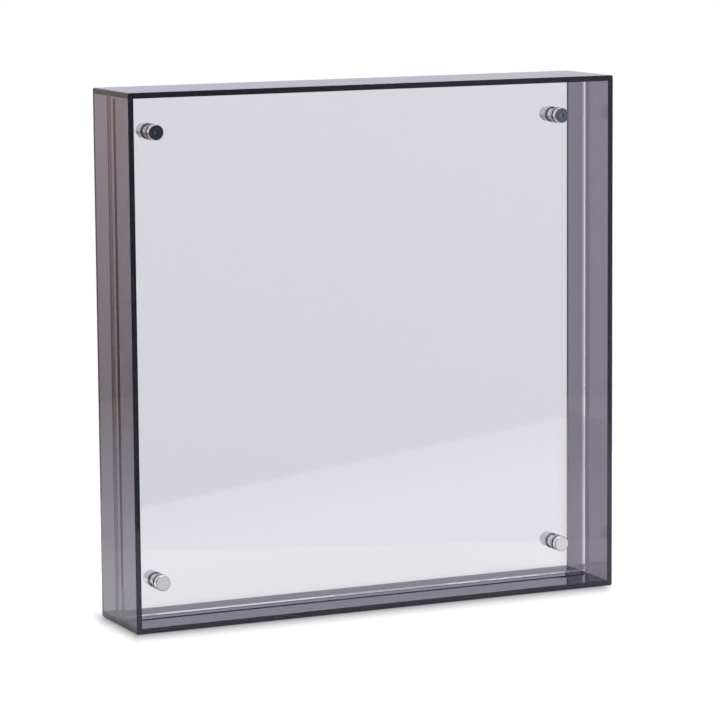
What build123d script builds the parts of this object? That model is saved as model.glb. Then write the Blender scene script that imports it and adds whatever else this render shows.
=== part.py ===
from build123d import *
from math import radians, sqrt, tan
import os

# Block frame of smoke acrylic that stands on its bottom wall, with a picture held between two clear panels.
# X runs to the right, Y to the back and Z up; the origin is at the bottom, mid-width and mid-depth.

# Outer frame of four mitred walls
frame_width = 280.0
frame_height = 280.0
frame_depth = 50.0
wall_thickness = 3.0
corner_radius = 1.0
wall_edge_break = 0.1
cement_film = 0.05

# Clear panels
front_panel_setback = 23.0
front_panel_thickness = 4.0
rear_panel_thickness = 4.0
picture_gap = 0.3
front_panel_margin = 1.2
panel_edge_break = 0.3

# Groove in the walls that holds the rear panel
groove_depth = 1.0
groove_clearance = 0.1

# Screw fixings near the corners
fixing_inset = 22.0
hole_clearance = 0.1

# Turned screw knob
head_diameter = 8.3
head_length = 3.4
head_edge_break = 0.25
neck_diameter = 5.6
neck_length = 1.0
flange_diameter = 8.4
flange_length = 1.0
stud_diameter = 4.0
stud_edge_break = 0.5
thread_engagement = 6.0

# Soft washers in front of and behind the panels
washer_thickness = 0.6
washer_diameter = 8.6
front_washer_clearance = 0.2

# Threaded post behind the panels
barrel_diameter = 6.8
barrel_recess = 0.4
thread_clearance = 0.05
bore_runout = 1.6
drill_point_angle = 118.0
cap_diameter = 8.0
cap_length = 7.2
cap_edge_break = 0.35

# Depth of each panel face from the middle of the frame
front_panel_front = front_panel_setback - frame_depth / 2
front_panel_middle = front_panel_front + front_panel_thickness / 2
rear_panel_front = front_panel_front + front_panel_thickness + picture_gap
rear_panel_middle = rear_panel_front + rear_panel_thickness / 2
panel_stack = front_panel_thickness + picture_gap + rear_panel_thickness

# Sizes that follow from the fits
groove_width = rear_panel_thickness + 2 * groove_clearance
rear_panel_inset = wall_thickness - groove_depth + groove_clearance
front_panel_inset = wall_thickness + front_panel_margin
panel_hole_radius = barrel_diameter / 2 + hole_clearance
bore_radius = stud_diameter / 2 + thread_clearance
drill_point_length = bore_radius * tan(radians(90 - drill_point_angle / 2))

# Fixing places, each by its corner
fixing_across = frame_width / 2 - fixing_inset
fixing_places = {
    "upper_left": (-fixing_across, frame_height - fixing_inset),
    "upper_right": (fixing_across, frame_height - fixing_inset),
    "lower_left": (-fixing_across, fixing_inset),
    "lower_right": (fixing_across, fixing_inset),
}


def wall_bar(length):
    """A grooved strip along X, outside face down, with both ends cut to the mitre."""
    strip = Pos(0, wall_thickness / 2) * Rectangle(frame_depth, wall_thickness)
    strip = chamfer(strip.vertices(), wall_edge_break)
    groove = Rectangle(groove_width, 2 * groove_depth)
    strip -= Pos(rear_panel_middle, wall_thickness) * groove
    bar = extrude(Plane.YZ * strip, length / 2, both=True)
    half_outside = length / 2 - cement_film / sqrt(2)
    half_inside = half_outside - wall_thickness
    mitre = Polygon(
        (-half_outside, 0),
        (half_outside, 0),
        (half_inside, wall_thickness),
        (-half_inside, wall_thickness),
        align=None,
    )
    return bar & extrude(Plane.XZ * mitre, frame_depth / 2, both=True)


def panel(inset, middle, thickness):
    """A clear sheet with eased edges and a hole for each fixing."""
    sheet = Box(frame_width - 2 * inset, thickness, frame_height - 2 * inset)
    rim = sheet.faces().sort_by(Axis.Y)[0].edges() + sheet.faces().sort_by(Axis.Y)[-1].edges()
    sheet = Pos(0, middle, frame_height / 2) * chamfer(rim, panel_edge_break)
    for across, up in fixing_places.values():
        hole = Rot(90, 0, 0) * Cylinder(panel_hole_radius, thickness)
        sheet -= Pos(across, middle, up) * hole
    return sheet


def turned(points):
    """A solid of revolution about Z from a half section of (radius, height) points."""
    section = make_face(Plane.XZ * Polyline(*points, close=True))
    return revolve(section, Axis.Z)


def ring(bore, base):
    """A flat washer that lies on the height given."""
    outside = washer_diameter / 2
    top = base + washer_thickness
    return turned([(bore, base), (outside, base), (outside, top), (bore, top)])


def knob():
    """Head, neck, flange and stud in one turned piece; height 0 is the front panel's face."""
    stud = stud_diameter / 2
    tip = -barrel_recess - thread_engagement
    seat = washer_thickness
    flange = flange_diameter / 2
    flange_top = seat + flange_length
    neck = neck_diameter / 2
    head = head_diameter / 2
    head_base = flange_top + neck_length
    head_face = head_base + head_length
    return turned([
        (0, tip),
        (stud - stud_edge_break, tip),
        (stud, tip + stud_edge_break),
        (stud, seat),
        (flange, seat),
        (flange, flange_top),
        (neck, flange_top),
        (neck, head_base),
        (head - head_edge_break, head_base),
        (head, head_base + head_edge_break),
        (head, head_face - head_edge_break),
        (head - head_edge_break, head_face),
        (0, head_face),
    ])


def post():
    """Barrel through both panels with a threaded blind bore, and the cap behind them."""
    barrel = barrel_diameter / 2
    mouth = -barrel_recess
    seat = -panel_stack - washer_thickness
    cap = cap_diameter / 2
    cap_end = seat - cap_length
    bore_end = mouth - thread_engagement - bore_runout
    return turned([
        (0, bore_end - drill_point_length),
        (bore_radius, bore_end),
        (bore_radius, mouth),
        (barrel, mouth),
        (barrel, seat),
        (cap, seat),
        (cap, cap_end + cap_edge_break),
        (cap - cap_edge_break, cap_end),
        (0, cap_end),
    ])


nodes = {}

# Four walls, mitred at the corners and rounded together on the outside
outline = Pos(0, frame_height / 2) * RectangleRounded(frame_width, frame_height, corner_radius)
block = extrude(Plane.XZ * outline, frame_depth / 2, both=True)
level_bar = wall_bar(frame_width)
upright_bar = wall_bar(frame_height)
nodes["bottom_wall"] = block & level_bar
nodes["top_wall"] = block & (Pos(0, 0, frame_height) * Rot(0, 180, 0) * level_bar)
nodes["left_wall"] = block & (Pos(-frame_width / 2, 0, frame_height / 2) * Rot(0, 90, 0) * upright_bar)
nodes["right_wall"] = block & (Pos(frame_width / 2, 0, frame_height / 2) * Rot(0, -90, 0) * upright_bar)

# Rear panel in the groove and the loose front panel before it
nodes["rear_panel"] = panel(rear_panel_inset, rear_panel_middle, rear_panel_thickness)
nodes["front_panel"] = panel(front_panel_inset, front_panel_middle, front_panel_thickness)

# One fixing at each corner, turned so that its height runs towards the front
front_washer = ring(stud_diameter / 2 + front_washer_clearance, 0)
rear_washer = ring(panel_hole_radius, -panel_stack - washer_thickness)
screw = knob()
sleeve = post()
for corner, (across, up) in fixing_places.items():
    seat = Pos(across, front_panel_front, up) * Rot(90, 0, 0)
    nodes[corner + "_knob"] = seat * screw
    nodes[corner + "_front_washer"] = seat * front_washer
    nodes[corner + "_rear_washer"] = seat * rear_washer
    nodes[corner + "_post"] = seat * sleeve

os.makedirs("parts", exist_ok=True)
for name, shape in nodes.items():
    export_step(shape, "parts/" + name + ".step")
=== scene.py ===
from math import cos, pi, radians, sin

import bmesh
import bpy
from bpy.props import FloatProperty, FloatVectorProperty, IntProperty, PointerProperty
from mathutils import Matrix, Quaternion, Vector


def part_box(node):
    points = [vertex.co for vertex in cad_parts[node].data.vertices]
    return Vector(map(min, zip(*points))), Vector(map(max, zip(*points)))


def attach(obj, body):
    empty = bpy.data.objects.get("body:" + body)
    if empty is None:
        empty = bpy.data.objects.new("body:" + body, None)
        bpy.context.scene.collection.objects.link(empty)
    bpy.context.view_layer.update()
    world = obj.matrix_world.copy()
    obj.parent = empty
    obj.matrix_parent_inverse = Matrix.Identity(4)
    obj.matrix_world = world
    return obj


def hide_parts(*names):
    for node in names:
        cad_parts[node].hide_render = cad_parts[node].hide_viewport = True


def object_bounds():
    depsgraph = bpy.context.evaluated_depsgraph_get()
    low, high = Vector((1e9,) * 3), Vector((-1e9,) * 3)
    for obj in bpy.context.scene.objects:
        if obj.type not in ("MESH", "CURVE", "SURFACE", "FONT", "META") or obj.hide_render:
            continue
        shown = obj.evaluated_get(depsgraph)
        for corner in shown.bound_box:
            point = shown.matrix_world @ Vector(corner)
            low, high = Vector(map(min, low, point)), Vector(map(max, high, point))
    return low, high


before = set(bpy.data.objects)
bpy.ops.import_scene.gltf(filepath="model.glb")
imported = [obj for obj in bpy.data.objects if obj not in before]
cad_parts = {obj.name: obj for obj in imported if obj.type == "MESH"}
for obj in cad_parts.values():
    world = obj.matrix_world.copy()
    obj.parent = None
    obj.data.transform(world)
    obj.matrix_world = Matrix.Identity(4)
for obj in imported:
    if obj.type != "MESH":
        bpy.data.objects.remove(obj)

bl_info = {
    "name": "Acrylic Block Frame",
    "version": (1, 0, 0),
    "blender": (4, 5, 0),
    "location": "View3D > Sidebar > Block Frame",
    "description": "Dresses the block frame: acrylic walls and panels, turned screw fixings, and a plain studio",
    "category": "Object",
}

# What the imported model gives: its box, the faces of the panels and the place of each fixing
CAD_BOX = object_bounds()
PANEL_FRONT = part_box("front_panel")[0].y
PANEL_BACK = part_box("rear_panel")[1].y
WALLS = ("bottom_wall", "top_wall", "left_wall", "right_wall")
CORNERS = ("upper_left", "upper_right", "lower_left", "lower_right")
HALF_WIDTH, HALF_DEPTH = CAD_BOX[1].x, CAD_BOX[1].y

# Modelling limits: points this close are one, a ring is found within this, and flatter edges are smoothed
MERGE_WITHIN = 1e-7
FIND_WITHIN = 2e-6
SMOOTH_BELOW = radians(28.0)

# The thread's V groove: slope of its flanks, share of the pitch at its root and before its start, and the tool
FLANK_SLOPE = 0.577
ROOT_SHARE = 1 / 8
LEAD_IN = 1.5
TOOL_PROUD = 0.00004
TOOL_STEPS = 48

# Shares that shape the turned pieces: radius and depth of the centre mark's steps, ramps, tips and roundings
MARK_STEPS = ((0.5, 0.7), (0.2, 1.0))
CAP_MARK = 0.25
RELIEF_RAMP = 0.6
DRILL_TIP = 0.05
WASHER_ROUND = 1.2

# How much a step in height counts beside one in radius, for the rings that the tool leaves
HEIGHT_RUN = 0.83

# Depth of the sawn skin at the edges of the walls and at the rear panel's rim, and height of the walls' foot, below
# which the edges' painted glow changes
WALL_SKIN = (0.0003, 0.00005)
RIM_SKIN = (0.0005, 0.0001)
FOOT_HEIGHT = 0.06

# Painted shade in the knob's recess, darker and rougher there, and how softly it ends
RECESS_SHADE_COLOUR = (0.12, 0.115, 0.12)
RECESS_SHADE_EDGE = (0.00012, 0.00002)

BLACK = (0.0, 0.0, 0.0)
WHITE = (1.0, 1.0, 1.0)

# Where the board's tone changes, in metres behind the block's middle or across from it; the fades are painted light
# falling off away from the block
BACK_FADES = (0.0, 0.3)
FRONT_FADES_TO = -0.13
WARMS_ACROSS = (-0.74, -0.40)
PALE_EDGE = 0.004
# Where the board shows painted white light in reflections: behind, in front and beside the left wall
MIRRORED_BACK = (0.04, 0.24)
MIRRORED_FRONT = (-0.06, 0.0)
MIRRORED_LEFT = (0.095, 0.015)

# Strength of the board's plain white, and shares of its light through the acrylic: near, and under the block, where the
# light is a painted glow
BOARD_WHITE = 1.35
NEAR_SHARE = 0.9
UNDER_SHARE = 0.3

# The painted soft shadow at the foot: how far short of the right and the back it stops, how it falls off and how deep
# it is
SHADOW_SHORT = (0.006, 0.004)
SHADOW_SQUEEZE = 3.0
SHADOW_CURVE = 1.6
SHADOW_DEPTH = 0.95

# Where the room's light changes, by the X, Y or Z part of the direction looked in
FRONT_Y = (-0.55, -0.1)
FRONT_TOP_Z = (0.12, 0.5)
FRONT_SIDE_X = (0.34, 0.62)
BACK_RISE_Z = (-0.30, -0.18)
WARM_RISE_Z = (-0.16, -0.04)
WARM_FOOT_Z = (-0.30, -0.20)
WARM_TOP_Z = (-0.075, -0.02)
WARM_LEFT_X = (-0.45, -0.41)
WARM_RIGHT_X = (-0.25, -0.05)
BACKDROP_Z = (-0.2, -0.03)

# Light bounces that the stacked sheets need
BOUNCES = 40
GLOSSY_BOUNCES = 32


def fixing_place(corner):
    """Where a fixing's axis stands, across and up."""
    low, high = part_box(corner + "_knob")
    return (low.x + high.x) / 2, (low.z + high.z) / 2


def length(name, description, default):
    """A length that the user may change, in metres."""
    return FloatProperty(
        name=name, description=description, default=default, min=0.0, precision=5,
        subtype="DISTANCE", unit="LENGTH",
    )


def share(name, description, default, most=1.0):
    """A plain number from nothing to its most."""
    return FloatProperty(
        name=name, description=description, default=default, min=0.0, max=most, precision=3,
        subtype="FACTOR",
    )


def colour(name, description, default):
    """A colour that the user may change."""
    return FloatVectorProperty(
        name=name, description=description, default=default, size=3, min=0.0, max=1.0,
        subtype="COLOR",
    )


def angle(name, description, degrees):
    """An angle that the user may change."""
    return FloatProperty(
        name=name, description=description, default=radians(degrees), subtype="ANGLE", unit="ROTATION"
    )


class FixingSizes(bpy.types.PropertyGroup):
    """Sizes of the turned screw, its post and the washers."""

    sides: IntProperty(
        name="Sides", description="Sides of every turned ring", default=96, min=24, max=256
    )
    head_diameter: length("Head", "Diameter of the knob's head", 0.0083)
    head_length: length("Head length", "Length of the knob's head", 0.0034)
    head_edge: length("Head edge", "Chamfer on both ends of the head", 0.00025)
    cap_edge: length("Cap edge", "Chamfer on the end of the cap", 0.00035)
    edge_round: length("Edge rounding", "Rounding of every turned edge", 0.0001)
    edge_guard: length("Edge guard", "Distance of the ring that keeps a face flat beside a rounded edge", 0.00018)
    centre_mark: length("Centre mark", "Diameter of the lathe's centre mark in the face", 0.0026)
    centre_depth: length("Centre mark depth", "Depth of the centre mark", 0.00006)
    neck_diameter: length("Neck", "Diameter between the head and the flange", 0.0056)
    neck_length: length("Neck length", "Length between the head and the flange", 0.001)
    flange_diameter: length("Flange", "Diameter of the flange on the washer", 0.0084)
    flange_length: length("Flange length", "Thickness of the flange", 0.001)
    stud_diameter: length("Stud", "Outside diameter of the thread", 0.004)
    stud_reach: length("Stud reach", "How far the stud goes behind the panel's face", 0.0064)
    stud_point: length("Stud point", "Chamfer on the end of the stud", 0.0005)
    stud_relief: length("Thread relief", "Length of the plain groove under the flange", 0.0007)
    thread_pitch: length("Thread pitch", "Forward travel in one turn", 0.0007)
    thread_depth: length("Thread depth", "Depth of the thread's groove", 0.00042)
    washer_diameter: length("Washer", "Outside diameter of the washers", 0.0086)
    washer_thickness: length("Washer thickness", "Thickness of the washers", 0.0006)
    washer_air: length("Washer air", "Air on both faces of a washer", 0.00002)
    front_bore: length("Front washer bore", "Bore of the washer under the knob", 0.0044)
    rear_bore: length("Rear washer bore", "Bore of the washer under the cap", 0.007)
    barrel_diameter: length("Barrel", "Diameter of the post in the panels' holes", 0.0068)
    barrel_recess: length("Barrel recess", "How far the barrel stops short of the front face", 0.0004)
    bore_diameter: length("Bore", "Diameter of the post's threaded bore", 0.0041)
    bore_depth: length("Bore depth", "Depth of the bore to its drill point", 0.0076)
    drill_point: length("Drill point", "Length of the bore's cone", 0.00123)
    cap_diameter: length("Cap", "Diameter of the cap behind the panels", 0.008)
    cap_length: length("Cap length", "Length of the cap", 0.0072)


class FinishColours(bpy.types.PropertyGroup):
    """Colours and strengths of the acrylic, steel and nylon."""

    smoke_tint: colour("Smoke tint", "Colour that the smoke acrylic lets through", (0.074, 0.0, 0.133))
    # Painted glow: emission on the walls' sawn edges, brighter to the right, and a dimmer one at their foot
    edge_glow: colour("Edge glow", "Light that the smoke sheet carries to its sawn edges", (0.009, 0.0085, 0.019))
    foot_glow: colour("Foot glow", "The same light at the foot of the block", (0.0, 0.0, 0.012))
    smoke_strength: FloatProperty(
        name="Smoke strength", description="How soon the smoke acrylic darkens, per metre",
        default=384.0, min=0.0,
    )
    clear_tint: colour("Clear tint", "Colour that the clear acrylic lets through", (0.55, 0.75, 0.85))
    clear_strength: FloatProperty(
        name="Clear strength", description="How soon the clear acrylic darkens, per metre",
        default=2.0, min=0.0,
    )
    knob_steel: colour("Knob steel", "Colour of the turned knobs", (0.88, 0.875, 0.87))
    post_steel: colour("Post steel", "Colour of the turned posts", (0.72, 0.715, 0.715))
    nylon: colour("Nylon", "Colour of the soft washers", (0.88, 0.88, 0.9))


class StudioSettings(bpy.types.PropertyGroup):
    """Camera, lamp, floor board and the room round them."""

    camera_place: FloatVectorProperty(
        name="Camera place", description="Where the camera stands",
        default=(-0.790486, -1.702448, 0.396732), size=3, precision=5,
        subtype="TRANSLATION", unit="LENGTH",
    )
    camera_heading: angle("Camera heading", "Turn of the view from straight back to the right", 24.9067)
    camera_dip: angle("Camera dip", "How far the camera looks down", 8.052)
    camera_roll: angle("Camera roll", "Turn of the camera about its own axis", -0.4528)
    lens: FloatProperty(
        name="Lens", description="Focal length of the camera", default=177.319, min=1.0, unit="CAMERA"
    )
    lamp_power: FloatProperty(
        name="Lamp power", description="Power of the soft lamp overhead", default=17.0, min=0.0, unit="POWER"
    )
    lamp_size: length("Lamp size", "Side of the soft lamp", 1.6)
    lamp_height: length("Lamp height", "Height of the soft lamp above the floor", 1.9)
    lamp_back: length("Lamp back", "How far behind the block's middle the lamp hangs", 0.1)
    backdrop: colour("Backdrop", "Light of the backdrop behind the block", (0.80, 0.79, 0.84))
    dark_room: colour("Dark room", "Light of the room behind the camera", (0.030, 0.032, 0.052))
    room_side: colour("Room side", "Light of that room towards its right side", (0.235, 0.245, 0.31))
    eye_back: share("Back at eye height", "Light of the backdrop at eye height, in reflections", 0.82)
    foot_back: share("Back near the foot", "Light of the room far below eye height, in reflections", 0.53)
    back_tint: colour("Back tint", "Tint of the backdrop in reflections", (0.878, 0.859, 1.0))
    warm_side: colour("Warm side", "Colour of the room behind on the left, in reflections", (0.80, 0.63, 0.55))
    warm_floor: colour("Warm floor", "Colour of the board far behind on the left, against the rest", (0.66, 0.53, 0.36))
    warm_low: share("Warm low", "Share of that colour left at its foot", 0.33)
    floor_tone: colour("Floor", "Colour of the floor board", (0.76, 0.76, 0.745))
    # Painted light falloff: the board's tone at its front and back edges
    front_fade: share("Front fade", "Tone of the board at its front edge, against the rest", 0.68)
    back_fade: share("Back fade", "Tone of the board at its back edge, against the rest", 0.75)
    floor_white: share("Floor white", "Share of plain white in the board where the camera looks at it", 0.7)
    floor_through: colour("Floor through", "Light of the board seen through the acrylic", (0.835, 0.825, 0.865))
    # Painted glow of the board under the block, seen through the bottom wall
    under_light: colour("Under light", "Light of the board seen through the bottom wall", (0.22, 0.27, 0.62))
    # Painted soft shadow on the board at the block's foot
    foot_reach: length("Foot shadow", "Reach of the soft shadow in front of the block's foot", 0.03)
    foot_heading: angle("Foot shadow turn", "Turn of the way from which that shadow falls forwards", 24.9067)
    # Painted light that the board shows in reflections only
    mirror_near: share("Mirrored floor", "Share of plain white in the board near the block, in reflections", 0.24)
    mirror_left: share("Mirrored left", "Share of it beside the left wall's foot", 0.55)
    pale_back: length("Pale floor", "How far behind the middle the board looks pale through the acrylic", 0.157)
    pale_turn: angle("Pale floor turn", "Turn of the line where the board looks paler", -19.5)
    board_front: length("Board front", "How far the board reaches in front of the block's middle", 0.283)
    board_back: length("Board back", "How far the board reaches behind the block's middle", 0.48)
    board_width: length("Board width", "Width of the board", 4.0)
    board_thickness: length("Board thickness", "Thickness of the board", 0.018)
    board_gap: length("Board gap", "Air between the board and the block", 0.0003)
    board_turn: angle("Board turn", "Turn of the board against the block", -26.0)


# Modelling by hand: selection, turning and copying

def deselect_all():
    """Leave edit mode and clear the selection."""
    if bpy.context.object and bpy.context.object.mode != "OBJECT":
        bpy.ops.object.mode_set(mode="OBJECT")
    bpy.ops.object.select_all(action="DESELECT")


def work_on(piece):
    """Make one piece the only selected and active one."""
    deselect_all()
    piece.select_set(True)
    bpy.context.view_layer.objects.active = piece


def turn_rings(section, first_height, first_radius):
    """Draw the selected ring through a section of (radius, height) steps, in edit mode."""
    radius, height = first_radius, first_height
    for next_radius, next_height in section:
        bpy.ops.mesh.extrude_region_move(
            TRANSFORM_OT_translate={"value": (0.0, height - next_height, 0.0)}
        )
        grow = next_radius / radius
        bpy.ops.transform.resize(value=(grow, 1.0, grow), center_override=(0.0, -next_height, 0.0))
        radius, height = next_radius, next_height


def start_ring(name, radius, height, sides, fill):
    """A ring about the Y axis; heights run towards the front."""
    deselect_all()
    bpy.ops.mesh.primitive_circle_add(
        vertices=sides, radius=radius, fill_type=fill,
        location=(0.0, -height, 0.0), rotation=(pi / 2, 0.0, 0.0),
    )
    piece = bpy.context.object
    piece.name = piece.data.name = name
    bpy.ops.object.transform_apply(location=True, rotation=True, scale=True)
    bpy.ops.object.mode_set(mode="EDIT")
    bpy.ops.mesh.select_all(action="SELECT")
    return piece


def pick_rings(piece, rings):
    """Select the ring edges at the given (radius, height) places, in edit mode."""
    bpy.ops.mesh.select_all(action="DESELECT")
    bpy.ops.mesh.select_mode(type="EDGE")
    shape = bmesh.from_edit_mesh(piece.data)

    def lies_on(point, ring):
        radius = (point.x ** 2 + point.z ** 2) ** 0.5
        return abs(radius - ring[0]) < FIND_WITHIN and abs(-point.y - ring[1]) < FIND_WITHIN

    for edge in shape.edges:
        ends = [v.co for v in edge.verts]
        edge.select_set(any(all(lies_on(p, ring) for p in ends) for ring in rings))
    bmesh.update_edit_mesh(piece.data)


def round_rings(piece, rings, size, segments=3):
    """Round the ring edges at the given places."""
    pick_rings(piece, rings)
    bpy.ops.mesh.bevel(offset_type="OFFSET", offset=size, segments=segments, affect="EDGES")


def finish_turned(piece, material):
    """Close up a turned piece, smooth it and keep its place on the lathe for the tool marks."""
    work_on(piece)
    bpy.ops.object.mode_set(mode="EDIT")
    bpy.ops.mesh.select_mode(type="VERT")
    bpy.ops.mesh.select_all(action="SELECT")
    bpy.ops.mesh.remove_doubles(threshold=MERGE_WITHIN)
    bpy.ops.mesh.normals_make_consistent(inside=False)
    bpy.ops.object.mode_set(mode="OBJECT")
    bpy.ops.object.shade_smooth_by_angle(angle=SMOOTH_BELOW)
    place = piece.data.attributes.new("turning_place", "FLOAT_VECTOR", "POINT")
    points = [0.0] * (3 * len(piece.data.vertices))
    piece.data.vertices.foreach_get("co", points)
    place.data.foreach_set("vector", points)
    piece.data.materials.clear()
    piece.data.materials.append(material)


def set_at_corners(pattern, ending, body_of, node_ending):
    """Copy a finished piece to each fixing, with its own mesh, and take the pattern away."""
    for corner in CORNERS:
        work_on(pattern)
        bpy.ops.object.duplicate(linked=False)
        piece = bpy.context.object
        piece.name = piece.data.name = corner + ending
        across, up = fixing_place(corner)
        bpy.ops.transform.translate(value=(across, 0.0, up))
        bpy.ops.object.transform_apply(location=True, rotation=True, scale=True)
        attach(piece, body_of(corner))
        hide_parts(corner + node_ending)
    work_on(pattern)
    bpy.ops.object.delete()


# Finishes: shared effects first, then one function for each material

def new_group(name, inputs, outputs):
    """A shader node group with its named sockets; returns the group and its two ends."""
    group = bpy.data.node_groups.new(name, "ShaderNodeTree")
    for socket, kind, value in inputs:
        made = group.interface.new_socket(socket, in_out="INPUT", socket_type=kind)
        if value is not None:
            made.default_value = value
    for socket, kind in outputs:
        group.interface.new_socket(socket, in_out="OUTPUT", socket_type=kind)
    return group, group.nodes.new("NodeGroupInput"), group.nodes.new("NodeGroupOutput")


def add_node(tree, kind, settings=None, **links):
    """A node with its settings; links give values or sockets to its inputs by name."""
    node = tree.nodes.new("ShaderNode" + kind)
    for key, value in (settings or {}).items():
        setattr(node, key, value)
    for key, value in links.items():
        socket = node.inputs[key.replace("_", " ") if not key.startswith("at") else int(key[2:])]
        if isinstance(value, bpy.types.NodeSocket):
            tree.links.new(value, socket)
        else:
            socket.default_value = value
    return node


def spread(tree, value, low, high, to_low, to_high):
    """Map a value from one range to another with soft ends."""
    node = add_node(
        tree, "MapRange", {"interpolation_type": "SMOOTHSTEP"},
        Value=value, From_Min=low, From_Max=high, To_Min=to_low, To_Max=to_high,
    )
    return node.outputs["Result"]


def sums(tree, operation, *values):
    """A math node on values or sockets."""
    links = {"at%d" % i: v for i, v in enumerate(values)}
    return add_node(tree, "Math", {"operation": operation}, **links).outputs[0]


def blend(tree, amount, first, second, kind="MIX"):
    """Mix two colours, each a plain colour or a socket."""
    ends = [end if isinstance(end, bpy.types.NodeSocket) else (*end, 1.0) for end in (first, second)]
    settings = {"data_type": "RGBA", "blend_type": kind}
    return add_node(tree, "Mix", settings, at0=amount, at6=ends[0], at7=ends[1]).outputs[2]


def apart_of(tree, vector):
    """The X, Y and Z of a vector."""
    return add_node(tree, "SeparateXYZ", Vector=vector).outputs


def use_effect(tree, make, place, **values):
    """Put a shared effect into a material; its node group is built the first time."""
    effect = tree.nodes.new("ShaderNodeGroup")
    effect.node_tree = bpy.data.node_groups.get(make.__name__) or make()
    tree.links.new(place, effect.inputs["Place"])
    for socket, value in values.items():
        effect.inputs[socket].default_value = value
    return effect.outputs


def handling_marks():
    """Faint smudges, wiping hairlines and the slow wave of cast sheet."""
    group, inside, outside = new_group(
        "handling_marks",
        (("Place", "NodeSocketVector", None), ("Polish", "NodeSocketFloat", 0.004),
         ("Smudge", "NodeSocketFloat", 0.006), ("Hairline", "NodeSocketFloat", 0.012)),
        (("Roughness", "NodeSocketFloat"), ("Height", "NodeSocketFloat")),
    )
    place = inside.outputs["Place"]
    smudge = add_node(group, "TexNoise", Vector=place, Scale=16.0, Detail=4.0, Roughness=0.6)
    patches = spread(group, smudge.outputs["Fac"], 0.5, 0.72, 0.0, 1.0)
    wiped = add_node(group, "Mapping", Vector=place, Rotation=(0.3, 0.5, 0.35), Scale=(30.0, 1400.0, 1400.0))
    lines = add_node(group, "TexNoise", Vector=wiped.outputs[0], Scale=1.0, Detail=1.0)
    hairs = spread(group, lines.outputs["Fac"], 0.7, 0.78, 0.0, 1.0)
    wave = add_node(group, "TexNoise", Vector=place, Scale=11.0, Detail=1.0)
    rough = sums(group, "ADD", inside.outputs["Polish"], sums(group, "MULTIPLY", patches, inside.outputs["Smudge"]))
    rough = sums(group, "ADD", rough, sums(group, "MULTIPLY", hairs, inside.outputs["Hairline"]))
    group.links.new(rough, outside.inputs["Roughness"])
    group.links.new(wave.outputs["Fac"], outside.inputs["Height"])
    return group


def lathe_marks():
    """Fine rings that the turning tool leaves, by radius on a face and by height on a side."""
    group, inside, outside = new_group(
        "lathe_marks",
        (("Place", "NodeSocketVector", None), ("Marks", "NodeSocketFloat", 9000.0),
         ("Broad", "NodeSocketFloat", 2100.0), ("Polish", "NodeSocketFloat", 0.2),
         ("Dulling", "NodeSocketFloat", 0.05)),
        (("Roughness", "NodeSocketFloat"), ("Height", "NodeSocketFloat"), ("Shade", "NodeSocketFloat")),
    )
    apart = apart_of(group, inside.outputs["Place"])
    across = sums(group, "MULTIPLY", apart["X"], apart["X"])
    up = sums(group, "MULTIPLY", apart["Z"], apart["Z"])
    radius = sums(group, "SQRT", sums(group, "ADD", across, up))
    run = sums(group, "MULTIPLY_ADD", apart["Y"], HEIGHT_RUN, radius)
    rings = add_node(
        group, "TexNoise", {"noise_dimensions": "1D"},
        W=sums(group, "MULTIPLY", run, inside.outputs["Marks"]), Scale=1.0, Detail=3.0, Roughness=0.65,
    )
    broad = add_node(
        group, "TexNoise", {"noise_dimensions": "1D"},
        W=sums(group, "MULTIPLY", run, inside.outputs["Broad"]), Scale=1.0, Detail=1.0,
    )
    stains = add_node(group, "TexNoise", Vector=inside.outputs["Place"], Scale=420.0, Detail=3.0)
    dull = sums(group, "MULTIPLY", spread(group, stains.outputs["Fac"], 0.4, 0.7, 0.0, 1.0), inside.outputs["Dulling"])
    group.links.new(sums(group, "ADD", inside.outputs["Polish"], dull), outside.inputs["Roughness"])
    group.links.new(rings.outputs["Fac"], outside.inputs["Height"])
    shade = sums(
        group, "MULTIPLY", spread(group, rings.outputs["Fac"], 0.3, 0.7, 0.97, 1.02),
        spread(group, broad.outputs["Fac"], 0.35, 0.65, 0.82, 1.04),
    )
    group.links.new(shade, outside.inputs["Shade"])
    return group


def new_material(name):
    """A material with an empty node tree; returns it with its output."""
    material = bpy.data.materials.new(name)
    material.use_nodes = True
    material.node_tree.nodes.clear()
    return material, material.node_tree, material.node_tree.nodes.new("ShaderNodeOutputMaterial")


def acrylic(name, tint, strength, polish, smudge, sawn=None, painted_glows=()):
    """Clear or smoke acrylic: smooth cast sheet that darkens with depth, duller where it was sawn, with a painted glow
    on the sawn edges where one is given.
    """
    material, tree, output = new_material(name)
    place = add_node(tree, "TexCoord").outputs["Object"]
    marks = use_effect(tree, handling_marks, place, Polish=polish, Smudge=smudge, Hairline=smudge)
    rough, skin, painted_glow = marks["Roughness"], 0.0, (*BLACK, 1.0)
    if sawn:
        skin, dullness, painted_glow = sawn(tree, place, *painted_glows)
        rough = sums(tree, "MULTIPLY_ADD", skin, dullness, rough)
    wave = add_node(tree, "Bump", Strength=0.01, Distance=0.0002, Height=marks["Height"])
    body = add_node(
        tree, "BsdfPrincipled", Base_Color=(*WHITE, 1.0), Roughness=rough, IOR=1.49, Normal=wave.outputs["Normal"],
        Coat_Weight=skin, Coat_Roughness=0.55, Coat_IOR=1.6, Emission_Color=painted_glow, Emission_Strength=1.0,
        Transmission_Weight=1.0,
    )
    tree.links.new(body.outputs[0], output.inputs["Surface"])
    depth_tint = add_node(tree, "VolumeAbsorption", Color=(*tint, 1.0), Density=strength)
    tree.links.new(depth_tint.outputs[0], output.inputs["Volume"])
    return material


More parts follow.
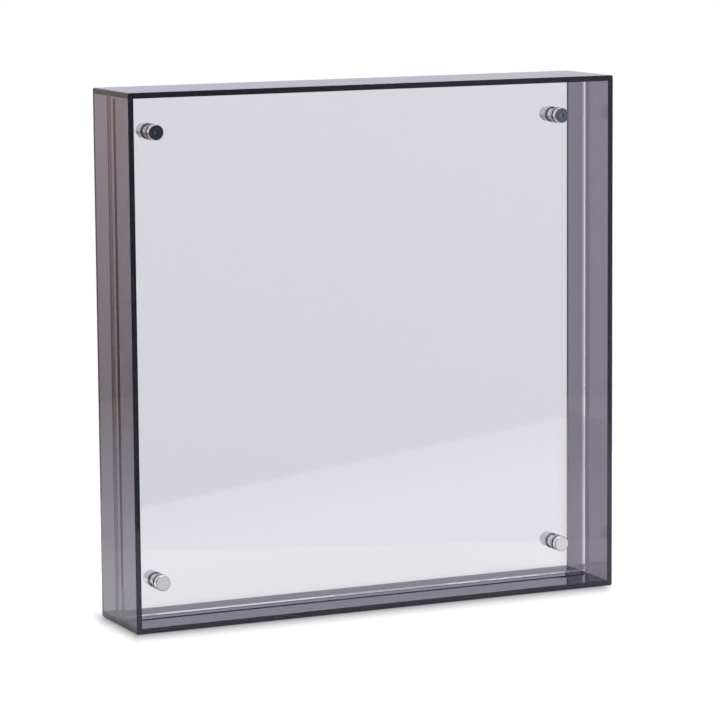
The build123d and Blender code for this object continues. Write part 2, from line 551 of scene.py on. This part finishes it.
def sawn_walls(tree, place, edge_glow, foot_glow):
    """Where the walls show their sawn front and back edges, how dull, and a painted glow on these edges, brighter to
    the right and a dimmer blue one at the foot.
    """
    apart = apart_of(tree, place)
    starts, ends = (HALF_DEPTH - skin for skin in WALL_SKIN)
    edge = spread(tree, sums(tree, "ABSOLUTE", apart["Y"]), starts, ends, 0.0, 1.0)
    # Painted glow: the edges' emission grows to the right and changes to the foot's colour near the floor
    brighter_to_right = spread(tree, apart["X"], -HALF_WIDTH, HALF_WIDTH, 0.25, 1.0)
    painted_edge_light = blend(tree, 1.0, edge_glow, brighter_to_right, "MULTIPLY")
    lit = blend(tree, spread(tree, apart["Z"], 0.0, FOOT_HEIGHT, 0.0, 1.0), foot_glow, painted_edge_light)
    return edge, 0.05, blend(tree, edge, BLACK, lit)


def sawn_panel(tree, place):
    """Where the rear panel shows its sawn rim, inside the groove, and how dull."""
    apart = apart_of(tree, place)
    low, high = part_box("rear_panel")
    across = sums(tree, "ABSOLUTE", apart["X"])
    up = sums(tree, "ABSOLUTE", sums(tree, "SUBTRACT", apart["Z"], (low.z + high.z) / 2))
    starts, ends = (high.x - skin for skin in RIM_SKIN)
    return spread(tree, sums(tree, "MAXIMUM", across, up), starts, ends, 0.0, 1.0), 0.5, (*BLACK, 1.0)


def turned_steel(name, tone, polish, recess=None):
    """Bright turned steel with the tool's rings, and with painted shade, darker and rougher, in a recess between two
    heights.
    """
    material, tree, output = new_material(name)
    place = add_node(tree, "Attribute", {"attribute_name": "turning_place"}).outputs["Vector"]
    marks = use_effect(tree, lathe_marks, place, Polish=polish)
    tint, rough = blend(tree, 1.0, tone, marks["Shade"], "MULTIPLY"), marks["Roughness"]
    if recess:
        # Painted shade: the recess is darkened towards grey-black and made rougher
        height = sums(tree, "MULTIPLY", apart_of(tree, place)["Y"], -1.0)
        outer, inner = RECESS_SHADE_EDGE
        recess_shade = sums(
            tree, "MULTIPLY", spread(tree, height, recess[0] - outer, recess[0] - inner, 0.0, 1.0),
            spread(tree, height, recess[1] + inner, recess[1] + outer, 1.0, 0.0),
        )
        tint = blend(tree, sums(tree, "MULTIPLY", recess_shade, 0.7), tint, RECESS_SHADE_COLOUR)
        rough = sums(tree, "MULTIPLY_ADD", recess_shade, 0.2, rough)
    rings = add_node(tree, "Bump", Strength=0.03, Distance=0.00003, Height=marks["Height"])
    body = add_node(
        tree, "BsdfPrincipled", Base_Color=tint, Metallic=1.0, Roughness=rough, Normal=rings.outputs["Normal"],
    )
    tree.links.new(body.outputs[0], output.inputs["Surface"])
    return material


def soft_nylon(name, tone):
    """Milky nylon that lets light through, with a fine moulded grain."""
    material, tree, output = new_material(name)
    place = add_node(tree, "Attribute", {"attribute_name": "turning_place"}).outputs["Vector"]
    marks = use_effect(tree, handling_marks, place, Polish=0.22, Smudge=0.1, Hairline=0.1)
    grain = add_node(tree, "TexNoise", Vector=place, Scale=2600.0, Detail=2.0)
    cloud = add_node(tree, "TexNoise", Vector=place, Scale=500.0, Detail=2.0)
    clouds = spread(tree, cloud.outputs["Fac"], 0.35, 0.65, 0.0, 1.0)
    milky = blend(tree, clouds, tone, [0.94 * c for c in tone])
    skin = add_node(tree, "Bump", Strength=0.15, Distance=0.00002, Height=grain.outputs["Fac"])
    body = add_node(
        tree, "BsdfPrincipled", Base_Color=milky, Roughness=marks["Roughness"], IOR=1.53,
        Normal=skin.outputs["Normal"], Transmission_Weight=0.6,
    )
    tree.links.new(body.outputs[0], output.inputs["Surface"])
    return material


# The pale board: what it shows to the camera, through the acrylic and in reflections, with its painted shadow and
# painted light

def along(tree, apart, turn):
    """How far a place lies behind the block's middle, along a way turned about the upright."""
    return sums(
        tree, "ADD", sums(tree, "MULTIPLY", apart["X"], -sin(turn)), sums(tree, "MULTIPLY", apart["Y"], cos(turn)),
    )


def straight_through(tree, path):
    """Marks what is seen straight through the acrylic, with no mirror on the way."""
    straight = sums(tree, "LESS_THAN", path["Glossy Depth"], 0.5)
    return sums(tree, "MULTIPLY", path["Is Transmission Ray"], straight)


def board_tone(tree, place, apart, behind, studio):
    """The board's colour: faintly clouded, warmer far to the left, and darkened towards its front and back edges by a
    painted falloff of light.
    """
    cloud = add_node(tree, "TexNoise", Vector=place, Scale=6.0, Detail=2.0)
    clouds = spread(tree, cloud.outputs["Fac"], 0.3, 0.7, 0.0, 1.0)
    tone = blend(tree, clouds, studio.floor_tone, [0.99 * c for c in studio.floor_tone])
    to_left = spread(tree, along(tree, apart, studio.board_turn - pi / 2), *WARMS_ACROSS, 1.0, 0.0)
    warmer = blend(tree, to_left, tone, studio.warm_floor, "MULTIPLY")
    painted_falloff = sums(
        tree, "MULTIPLY", spread(tree, behind, *BACK_FADES, 1.0, studio.back_fade),
        spread(tree, behind, -studio.board_front, FRONT_FADES_TO, studio.front_fade, 1.0),
    )
    return blend(tree, 1.0, warmer, painted_falloff, "MULTIPLY")


def foot_shadow(tree, apart, studio):
    """A painted soft shadow before the block's foot and beside its left wall, with rounded ends."""
    right, back = sin(studio.foot_heading), cos(studio.foot_heading)
    from_side = sums(tree, "DIVIDE", sums(tree, "SUBTRACT", -HALF_WIDTH, apart["X"]), right)
    from_front = sums(tree, "DIVIDE", sums(tree, "SUBTRACT", -HALF_DEPTH, apart["Y"]), back)
    run = sums(tree, "MAXIMUM", sums(tree, "MAXIMUM", from_side, from_front), 0.0)
    ends = []
    for axis, way, half, short in (
        ("X", right, HALF_WIDTH, SHADOW_SHORT[0]), ("Y", back, HALF_DEPTH, SHADOW_SHORT[1]),
    ):
        past = sums(tree, "SUBTRACT", sums(tree, "MULTIPLY_ADD", run, way, apart[axis]), half - short)
        ends.append(sums(tree, "MAXIMUM", past, 0.0))
    past = add_node(tree, "CombineXYZ", X=sums(tree, "MULTIPLY", ends[0], SHADOW_SQUEEZE), Y=run, Z=ends[1])
    away = add_node(tree, "VectorMath", {"operation": "LENGTH"}, Vector=past.outputs[0]).outputs["Value"]
    shadow = add_node(tree, "MapRange", Value=away, From_Max=studio.foot_reach, To_Min=1.0, To_Max=0.0)
    return sums(tree, "POWER", shadow.outputs["Result"], SHADOW_CURVE)


def board_through(tree, apart, studio):
    """The light that the board shows through the acrylic, and how much of it, with a painted blue glow under the block.
    """
    beyond = along(tree, apart, studio.pale_turn)
    far = spread(tree, beyond, studio.pale_back, studio.pale_back + PALE_EDGE, 0.0, 1.0)
    pale = blend(tree, far, studio.floor_through, [0.96 * c for c in studio.backdrop])
    beside = sums(tree, "GREATER_THAN", sums(tree, "ABSOLUTE", apart["X"]), HALF_WIDTH)
    astern = sums(tree, "GREATER_THAN", sums(tree, "ABSOLUTE", apart["Y"]), HALF_DEPTH)
    outside = sums(tree, "MAXIMUM", beside, astern)
    shown = sums(tree, "MULTIPLY", sums(tree, "MULTIPLY_ADD", far, 1.0 - NEAR_SHARE, NEAR_SHARE), outside)
    return blend(tree, outside, studio.under_light, pale), sums(tree, "MAXIMUM", shown, UNDER_SHARE)


def board_mirrored(tree, apart, behind, studio):
    """Painted light: how much plain white the board shows in reflections only, near the block and most beside its left
    wall.
    """
    near = sums(
        tree, "MULTIPLY", spread(tree, behind, *MIRRORED_BACK, studio.mirror_near, 0.0),
        spread(tree, behind, *MIRRORED_FRONT, 0.0, 1.0),
    )
    starts, ends = (-HALF_WIDTH - reach for reach in MIRRORED_LEFT)
    left = sums(
        tree, "MULTIPLY", spread(tree, apart["X"], starts, ends, 0.0, studio.mirror_left),
        sums(tree, "LESS_THAN", apart["X"], -HALF_WIDTH),
    )
    return sums(tree, "ADD", near, left)


def pale_board(studio):
    """A matt pale board that looks white to the camera, keeps a share of the block's real shadow, and carries a painted
    shadow at the foot and painted light under the block and in reflections.
    """
    material, tree, output = new_material("pale_board")
    place = add_node(tree, "TexCoord").outputs["Object"]
    apart = apart_of(tree, place)
    behind = along(tree, apart, studio.board_turn)
    path = add_node(tree, "LightPath").outputs
    through = straight_through(tree, path)
    body = add_node(
        tree, "BsdfPrincipled", Base_Color=board_tone(tree, place, apart, behind, studio), Roughness=0.9,
        Specular_IOR_Level=0.0,
    )
    light, shown = board_through(tree, apart, studio)
    glow = add_node(tree, "Emission", Color=light)
    lit = add_node(
        tree, "MixShader", at0=sums(tree, "MULTIPLY", through, shown), at1=body.outputs[0], at2=glow.outputs[0],
    )
    # Painted shadow: the camera's white on the board weakens near the foot
    shade = foot_shadow(tree, apart, studio)
    white = add_node(tree, "Emission", Strength=sums(tree, "MULTIPLY_ADD", shade, -SHADOW_DEPTH, BOARD_WHITE))
    # Painted light: in reflections the board adds white near the block and beside its left wall
    mirrored = sums(tree, "GREATER_THAN", sums(tree, "SUBTRACT", path["Is Glossy Ray"], through), 0.5)
    near = sums(tree, "MULTIPLY", mirrored, board_mirrored(tree, apart, behind, studio))
    seen = sums(tree, "MAXIMUM", path["Is Camera Ray"], near)
    mixed = add_node(
        tree, "MixShader", at0=sums(tree, "MULTIPLY", seen, studio.floor_white), at1=lit.outputs[0],
        at2=white.outputs[0],
    )
    tree.links.new(mixed.outputs[0], output.inputs["Surface"])
    return material


# Operators, one for each piece or group of like pieces

class SmokeWalls(bpy.types.Operator):
    """Give the four walls their smoke acrylic"""

    bl_idname = "block_frame.smoke_walls"
    bl_label = "Smoke Walls"

    def execute(self, context):
        finish = context.scene.block_finishes
        smoke = acrylic(
            "smoke_acrylic_sheet", finish.smoke_tint, finish.smoke_strength, polish=0.003, smudge=0.004,
            sawn=sawn_walls, painted_glows=(finish.edge_glow, finish.foot_glow),
        )
        for wall in WALLS:
            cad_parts[wall].material_slots[0].material = smoke
        return {"FINISHED"}


class ClearPanels(bpy.types.Operator):
    """Give the two panels their clear acrylic"""

    bl_idname = "block_frame.clear_panels"
    bl_label = "Clear Panels"

    def execute(self, context):
        finish = context.scene.block_finishes
        for panel, sawn in (("front_panel", None), ("rear_panel", sawn_panel)):
            clear = acrylic(
                "clear_acrylic_" + panel, finish.clear_tint, finish.clear_strength, polish=0.002, smudge=0.003,
                sawn=sawn,
            )
            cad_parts[panel].material_slots[0].material = clear
        return {"FINISHED"}


def thread_cutter(size, front):
    """A V-shaped tool drawn along the thread's helix, to be cut out of the stud."""
    crest = size.stud_diameter / 2
    root = crest - size.thread_depth
    reach = crest + TOOL_PROUD
    middle, depth = (root + reach) / 2, reach - root
    start = front + size.stud_reach + LEAD_IN * size.thread_pitch
    flat = size.thread_pitch * ROOT_SHARE
    mouth = flat + 2 * depth * FLANK_SLOPE
    deselect_all()
    bpy.ops.mesh.primitive_plane_add(size=depth, location=(middle, start, 0.0))
    tool = bpy.context.object
    bpy.ops.object.transform_apply(location=True, rotation=True, scale=True)
    bpy.ops.object.mode_set(mode="EDIT")
    bpy.ops.mesh.delete(type="ONLY_FACE")
    for inner, wide in ((True, flat), (False, mouth)):
        bpy.ops.mesh.select_mode(type="VERT")
        bpy.ops.mesh.select_all(action="DESELECT")
        shape = bmesh.from_edit_mesh(tool.data)
        for point in shape.verts:
            point.select_set((point.co.x < middle) == inner)
        bmesh.update_edit_mesh(tool.data)
        bpy.ops.transform.resize(value=(1.0, wide / depth, 1.0), center_override=(middle, start, 0.0))
    bpy.ops.object.mode_set(mode="OBJECT")
    helix = tool.modifiers.new("helix", "SCREW")
    helix.axis = "Y"
    helix.angle = -2 * pi
    helix.screw_offset = -size.thread_pitch
    helix.iterations = int((size.stud_reach + size.washer_thickness) / size.thread_pitch + 1)
    helix.steps = helix.render_steps = TOOL_STEPS
    helix.use_merge_vertices = False
    bpy.ops.object.modifier_apply(modifier=helix.name)
    bpy.ops.object.mode_set(mode="EDIT")
    bpy.ops.mesh.select_mode(type="EDGE")
    bpy.ops.mesh.select_all(action="SELECT")
    bpy.ops.mesh.remove_doubles(threshold=MERGE_WITHIN)
    bpy.ops.mesh.select_all(action="SELECT")
    bpy.ops.mesh.fill_holes(sides=8)
    bpy.ops.mesh.select_all(action="SELECT")
    bpy.ops.mesh.normals_make_consistent(inside=False)
    bpy.ops.object.mode_set(mode="OBJECT")
    return tool


class ScrewKnobs(bpy.types.Operator):
    """Turn a screw knob, cut its thread and set one at each corner"""

    bl_idname = "block_frame.screw_knobs"
    bl_label = "Screw Knobs"

    def execute(self, context):
        size = context.scene.block_fixings
        front = -PANEL_FRONT
        tip = front - size.stud_reach
        seat = front + size.washer_thickness
        flange_top = seat + size.flange_length
        head_base = flange_top + size.neck_length
        face = head_base + size.head_length
        tone = context.scene.block_finishes.knob_steel
        # The knob's recess between the flange and the head gets painted shade
        steel = turned_steel("turned_steel_knob", tone, polish=0.08, recess=(flange_top, head_base))
        stud = size.stud_diameter / 2
        root = stud - size.thread_depth
        flange, neck, head = size.flange_diameter / 2, size.neck_diameter / 2, size.head_diameter / 2
        cut, mark, guard = size.head_edge, size.centre_mark / 2, size.edge_guard
        knob = start_ring("screw_knob", stud - size.stud_point, tip, size.sides, "NGON")
        turn_rings(
            [
                (stud, tip + size.stud_point), (stud, seat - size.stud_relief),
                (root, seat - RELIEF_RAMP * size.stud_relief), (root, seat),
                (flange - guard, seat), (flange, seat), (flange, seat + guard), (flange, flange_top - guard),
                (flange, flange_top), (flange - guard, flange_top), (neck, flange_top), (neck, head_base),
                (head - cut - guard, head_base), (head - cut, head_base), (head, head_base + cut),
                (head, head_base + cut + guard), (head, face - cut - guard), (head, face - cut), (head - cut, face),
                (head - cut - guard, face), (mark + guard, face), (mark, face),
                *((wide * mark, face - deep * size.centre_depth) for wide, deep in MARK_STEPS),
            ],
            tip, stud - size.stud_point,
        )
        round_rings(
            knob,
            [
                (flange, seat), (flange, flange_top), (head - cut, head_base),
                (head, head_base + cut), (head, face - cut), (head - cut, face),
            ],
            size.edge_round,
        )
        tool = thread_cutter(size, PANEL_FRONT)
        work_on(knob)
        thread = knob.modifiers.new("thread", "BOOLEAN")
        thread.operation, thread.solver, thread.object = "DIFFERENCE", "EXACT", tool
        bpy.ops.object.modifier_apply(modifier=thread.name)
        work_on(tool)
        bpy.ops.object.delete()
        finish_turned(knob, steel)
        set_at_corners(knob, "_screw_knob", lambda corner: corner + "_knob", "_knob")
        return {"FINISHED"}


class ThreadedPosts(bpy.types.Operator):
    """Turn a post with its cap and bore, and set one at each corner"""

    bl_idname = "block_frame.threaded_posts"
    bl_label = "Threaded Posts"

    def execute(self, context):
        size = context.scene.block_fixings
        steel = turned_steel("turned_steel_post", context.scene.block_finishes.post_steel, polish=0.12)
        seat = -PANEL_BACK - size.washer_thickness
        end = seat - size.cap_length
        mouth = -PANEL_FRONT - size.barrel_recess
        cap, barrel, bore = size.cap_diameter / 2, size.barrel_diameter / 2, size.bore_diameter / 2
        cut, mark, guard = size.cap_edge, size.centre_mark / 2, size.edge_guard
        post = start_ring("threaded_post", CAP_MARK * mark, end + size.centre_depth, size.sides, "NGON")
        turn_rings(
            [
                (mark, end), (mark + guard, end), (cap - cut - guard, end), (cap - cut, end),
                (cap, end + cut), (cap, end + cut + guard), (cap, seat - guard), (cap, seat),
                (cap - guard, seat), (barrel, seat),
                (barrel, mouth), (bore, mouth), (bore, mouth - size.bore_depth),
                (DRILL_TIP * bore, mouth - size.bore_depth - size.drill_point),
            ],
            end + size.centre_depth, CAP_MARK * mark,
        )
        round_rings(
            post, [(cap - cut, end), (cap, end + cut), (cap, seat), (barrel, mouth), (bore, mouth)],
            size.edge_round,
        )
        finish_turned(post, steel)
        set_at_corners(post, "_threaded_post", lambda corner: "frame", "_post")
        return {"FINISHED"}


class SoftWashers(bpy.types.Operator):
    """Make the soft washers in front of and behind the panels"""

    bl_idname = "block_frame.soft_washers"
    bl_label = "Soft Washers"

    def execute(self, context):
        size = context.scene.block_fixings
        nylon = soft_nylon("soft_clear_nylon", context.scene.block_finishes.nylon)
        front = -PANEL_FRONT + size.washer_air
        back = -PANEL_BACK - size.washer_thickness + size.washer_air
        self.make("front", size, nylon, front, size.front_bore / 2, lambda corner: corner + "_washer")
        self.make("rear", size, nylon, back, size.rear_bore / 2, lambda corner: "frame")
        return {"FINISHED"}

    def make(self, side, size, nylon, base, bore, body_of):
        """One washer on its base height, copied to the corners."""
        rim, top = size.washer_diameter / 2, base + size.washer_thickness - 2 * size.washer_air
        washer = start_ring(side + "_washer", bore, base, size.sides, "NOTHING")
        turn_rings([(rim, base), (rim, top), (bore, top)], base, bore)
        pick_rings(washer, [(bore, base), (bore, top)])
        bpy.ops.mesh.bridge_edge_loops()
        round_rings(washer, [(rim, base), (rim, top), (bore, base), (bore, top)], WASHER_ROUND * size.edge_round)
        finish_turned(washer, nylon)
        set_at_corners(washer, "_%s_washer_ring" % side, body_of, "_%s_washer" % side)


class Studio(bpy.types.Operator):
    """Set up the camera, the floor board, the soft lamp and the room"""

    bl_idname = "block_frame.studio"
    bl_label = "Studio"

    def execute(self, context):
        studio = context.scene.block_studio
        self.camera(context, studio)
        self.floor_board(studio)
        self.lamp(studio)
        self.room(context, studio)
        context.scene.view_settings.view_transform = "Standard"
        context.scene.cycles.max_bounces = context.scene.cycles.transmission_bounces = BOUNCES
        context.scene.cycles.glossy_bounces = GLOSSY_BOUNCES
        return {"FINISHED"}

    def camera(self, context, studio):
        """The camera at the viewing angle."""
        deselect_all()
        bpy.ops.object.camera_add(location=studio.camera_place)
        camera = context.object
        camera.name = "studio_camera"
        heading, dip = studio.camera_heading, studio.camera_dip
        look = Vector((sin(heading) * cos(dip), cos(heading) * cos(dip), -sin(dip)))
        turn = look.to_track_quat("-Z", "Y") @ Quaternion((0.0, 0.0, 1.0), studio.camera_roll)
        camera.rotation_mode = "QUATERNION"
        camera.rotation_quaternion = turn
        camera.data.lens = studio.lens
        context.scene.camera = camera

    def floor_board(self, studio):
        """A plain pale board that the block stands on."""
        deselect_all()
        middle = (studio.board_back - studio.board_front) / 2
        turn = studio.board_turn
        bpy.ops.mesh.primitive_plane_add(
            size=1.0, location=(-sin(turn) * middle, cos(turn) * middle, -studio.board_gap), rotation=(0.0, 0.0, turn),
        )
        board = bpy.context.object
        board.name = board.data.name = "floor_board"
        board.scale = (studio.board_width, studio.board_front + studio.board_back, 1.0)
        bpy.ops.object.transform_apply(location=True, rotation=True, scale=True)
        bpy.ops.object.mode_set(mode="EDIT")
        bpy.ops.mesh.select_all(action="SELECT")
        bpy.ops.mesh.extrude_region_move(TRANSFORM_OT_translate={"value": (0.0, 0.0, -studio.board_thickness)})
        bpy.ops.mesh.select_all(action="SELECT")
        bpy.ops.mesh.normals_make_consistent(inside=False)
        bpy.ops.object.mode_set(mode="OBJECT")
        board.data.materials.append(pale_board(studio))

    def lamp(self, studio):
        """One large soft lamp overhead."""
        deselect_all()
        bpy.ops.object.light_add(type="AREA", location=(0.0, studio.lamp_back, studio.lamp_height))
        lamp = bpy.context.object
        lamp.name = "soft_lamp"
        lamp.data.shape = "SQUARE"
        lamp.data.size = studio.lamp_size
        lamp.data.energy = studio.lamp_power

    def room(self, context, studio):
        """A pale backdrop all round, with the dark room behind the camera."""
        world = bpy.data.worlds.new("studio_room")
        context.scene.world = world
        world.use_nodes = True
        tree = world.node_tree
        tree.nodes.clear()
        way = apart_of(tree, add_node(tree, "TexCoord").outputs["Generated"])
        ahead = sums(
            tree, "MULTIPLY", spread(tree, way["Y"], *FRONT_Y, 1.0, 0.0),
            spread(tree, way["Z"], *FRONT_TOP_Z, 1.0, 0.0),
        )
        to_side = spread(tree, way["X"], *FRONT_SIDE_X, 0.0, 1.0)
        front = blend(tree, to_side, studio.dark_room, studio.room_side)
        rise = spread(tree, way["Z"], *BACK_RISE_Z, studio.foot_back, studio.eye_back)
        plain = blend(tree, 1.0, studio.back_tint, rise, "MULTIPLY")
        warmth = sums(
            tree, "ADD", spread(tree, way["Z"], *WARM_RISE_Z, studio.warm_low, 1.0),
            spread(tree, way["Z"], *WARM_FOOT_Z, 0.3, 0.0),
        )
        warm = blend(tree, 1.0, studio.warm_side, warmth, "MULTIPLY")
        left = sums(
            tree, "MULTIPLY", spread(tree, way["X"], *WARM_LEFT_X, 0.0, 1.0),
            spread(tree, way["X"], *WARM_RIGHT_X, 1.0, 0.0),
        )
        left = sums(tree, "MULTIPLY", left, spread(tree, way["Z"], *WARM_TOP_Z, 1.0, 0.3))
        light = blend(tree, ahead, blend(tree, left, plain, warm), front)
        behind = blend(tree, 1.0, studio.backdrop, spread(tree, way["Z"], *BACKDROP_Z, 0.96, 1.0), "MULTIPLY")
        path = add_node(tree, "LightPath").outputs
        shown = blend(tree, straight_through(tree, path), light, behind)
        seen = blend(tree, path["Is Camera Ray"], shown, WHITE)
        glow = add_node(tree, "Background", Color=seen, Strength=1.0)
        output = tree.nodes.new("ShaderNodeOutputWorld")
        tree.links.new(glow.outputs[0], output.inputs["Surface"])


MAKERS = (SmokeWalls, ClearPanels, ScrewKnobs, ThreadedPosts, SoftWashers, Studio)


class BlockFramePanel(bpy.types.Panel):
    """Sizes, colours and steps of the block frame"""

    bl_idname = "VIEW3D_PT_block_frame"
    bl_label = "Block Frame"
    bl_space_type = "VIEW_3D"
    bl_region_type = "UI"
    bl_category = "Block Frame"

    def draw(self, context):
        column = self.layout.column()
        for maker in MAKERS:
            column.operator(maker.bl_idname)
        for group in ("block_fixings", "block_finishes", "block_studio"):
            settings = getattr(context.scene, group)
            part = self.layout.box()
            for name in settings.__annotations__:
                part.prop(settings, name)


CLASSES = (FixingSizes, FinishColours, StudioSettings) + MAKERS + (BlockFramePanel,)


def register():
    """Add the classes and the settings to Blender."""
    for made in CLASSES:
        bpy.utils.register_class(made)
    bpy.types.Scene.block_fixings = PointerProperty(type=FixingSizes)
    bpy.types.Scene.block_finishes = PointerProperty(type=FinishColours)
    bpy.types.Scene.block_studio = PointerProperty(type=StudioSettings)


def unregister():
    """Take the settings and the classes away again."""
    del bpy.types.Scene.block_fixings
    del bpy.types.Scene.block_finishes
    del bpy.types.Scene.block_studio
    for made in reversed(CLASSES):
        bpy.utils.unregister_class(made)


def main():
    """Build everything in order."""
    register()
    bpy.ops.block_frame.smoke_walls()
    bpy.ops.block_frame.clear_panels()
    bpy.ops.block_frame.screw_knobs()
    bpy.ops.block_frame.threaded_posts()
    bpy.ops.block_frame.soft_washers()
    bpy.ops.block_frame.studio()
    deselect_all()


if __name__ == "__main__":
    main()
